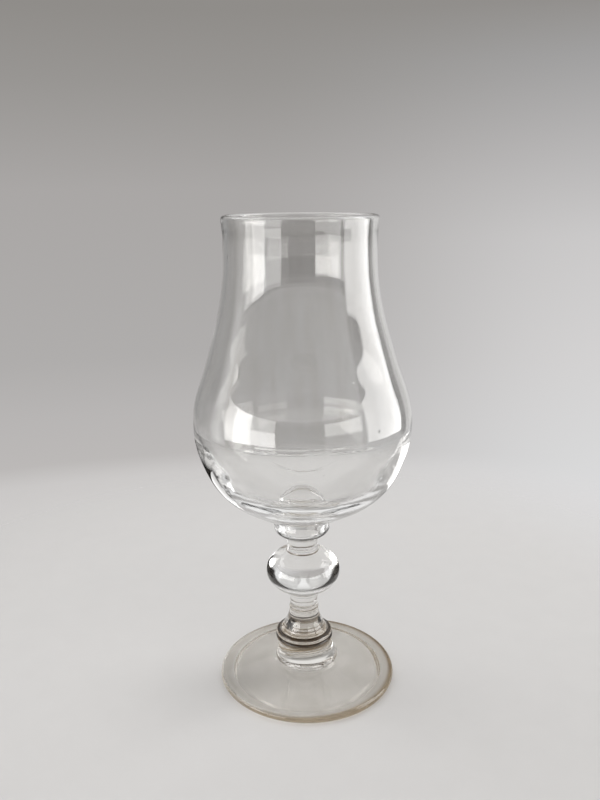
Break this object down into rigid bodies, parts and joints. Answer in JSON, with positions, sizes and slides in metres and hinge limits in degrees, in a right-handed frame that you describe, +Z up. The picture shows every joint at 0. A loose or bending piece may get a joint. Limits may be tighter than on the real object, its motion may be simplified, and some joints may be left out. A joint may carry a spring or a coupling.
{
  "type": "beer glass",
  "caption": "Footed beer glass with a tulip bowl on a knopped stem, a ringed collar and a wide conical foot with a folded edge.",
  "frame": {"origin": "on the table, under the middle of the bowl", "axes": "+Z up from the foot to the lip; the hand-made centre line wanders in the X-Z plane"},
  "size_m": [0.0762, 0.0762, 0.17],
  "materials": {
    "clear_glass": "clear fire-polished glass",
    "foot_glass": "clear glass, faint amber in the thick edge"
  },
  "bodies": {
    "root": {"bowl": "clear_glass", "upper_merese": "clear_glass", "upper_neck": "clear_glass", "ball_knop": "clear_glass", "lower_neck": "clear_glass", "stem_base": "clear_glass", "lower_merese": "clear_glass", "foot": "foot_glass"}
  },
  "joints": []
}
